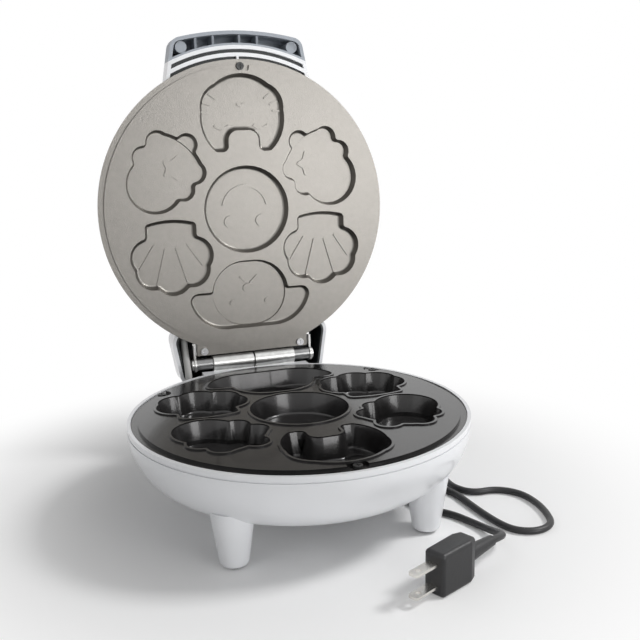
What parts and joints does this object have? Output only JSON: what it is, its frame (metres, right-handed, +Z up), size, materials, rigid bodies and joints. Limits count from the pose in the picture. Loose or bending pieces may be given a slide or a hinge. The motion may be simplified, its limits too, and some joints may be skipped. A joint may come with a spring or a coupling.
{
  "type": "electric cake maker with a hinged lid",
  "caption": "Round table-top cake maker: heated base plate with shaped wells, matching plate in a hinged lid that stands open, moulded front handle, mains cord with plug.",
  "frame": {"origin": "on the surface the feet stand on, under the middle of the box round the open maker without its cord", "axes": "+Z up, -Y towards the user and the handle side, +Y towards the hinge, +X to the user's right"},
  "size_m": [0.2498, 0.3104, 0.3068],
  "materials": {
    "white_shell": "glossy white injection moulding",
    "handle_blue": "satin grey-blue moulding",
    "upper_coat": "satin grey non-stick coat on cast aluminium",
    "lower_coat": "gloss black non-stick coat on cast aluminium",
    "rubber_foot": "matt moulded rubber",
    "screw_steel": "zinc-plated steel",
    "heater_steel": "heat-darkened steel tube",
    "shield_metal": "mill-finish sheet",
    "inner_plastic": "heat-resistant moulding",
    "hinge_steel": "bent and rolled steel strip",
    "black_plastic": "satin black moulding",
    "red_lens": "clear red lens",
    "green_lens": "clear green lens",
    "sleeve_grey": "heat-resistant sleeve",
    "cord_black": "soft black PVC",
    "blade_nickel": "nickel-plated brass"
  },
  "bodies": {
    "base": {"base_hinge_bracket": "hinge_steel", "base_shell": "white_shell", "cord_coil": "cord_black", "cord_front": "cord_black", "cord_gland": "cord_black", "cord_rear": "cord_black", "element_lead_left": "sleeve_grey", "element_lead_right": "sleeve_grey", "foot_pad_1": "rubber_foot", "foot_pad_2": "rubber_foot", "foot_pad_3": "rubber_foot", "foot_pad_4": "rubber_foot", "hinge_collar_left": "hinge_steel", "hinge_collar_right": "hinge_steel", "hinge_pin": "hinge_steel", "leaf_screw_left": "screw_steel", "leaf_screw_right": "screw_steel", "lid_lead": "sleeve_grey", "lower_element": "heater_steel", "lower_heat_shield": "shield_metal", "lower_plate": "lower_coat", "lower_plate_screw_1": "screw_steel", "lower_plate_screw_2": "screw_steel", "lower_plate_screw_3": "screw_steel", "lower_shield_screw_1": "screw_steel", "lower_shield_screw_2": "screw_steel", "lower_shield_screw_3": "screw_steel", "mains_lead": "sleeve_grey", "pin_clip": "hinge_steel", "plug_blade_high": "blade_nickel", "plug_blade_low": "blade_nickel", "plug_body": "cord_black", "plug_relief": "cord_black", "stop_pad_left": "rubber_foot", "stop_pad_right": "rubber_foot", "terminal_block": "inner_plastic", "thermal_fuse": "inner_plastic", "thermostat": "inner_plastic"},
    "lid": {"lid_shell": "white_shell", "slot_liner_inner": "black_plastic", "slot_liner_outer": "black_plastic", "hood_liner": "black_plastic", "handle_grip": "handle_blue", "upper_plate": "upper_coat", "upper_plate_screw_1": "screw_steel", "upper_plate_screw_2": "screw_steel", "upper_plate_screw_3": "screw_steel", "upper_element": "heater_steel", "upper_heat_shield": "shield_metal", "upper_shield_screw_1": "screw_steel", "upper_shield_screw_2": "screw_steel", "upper_shield_screw_3": "screw_steel", "lid_hinge_bracket": "hinge_steel", "power_lamp": "red_lens", "ready_lamp": "green_lens", "lamp_board": "inner_plastic", "upper_lead": "sleeve_grey"}
  },
  "joints": [
    {"name": "lid_hinge", "type": "hinge", "parent": "base", "child": "lid", "pos_m": [0, 0.08884, 0.071], "axis": [1, 0, 0], "range_deg": [0, 92], "deforming": ["lid_lead"]}
  ]
}
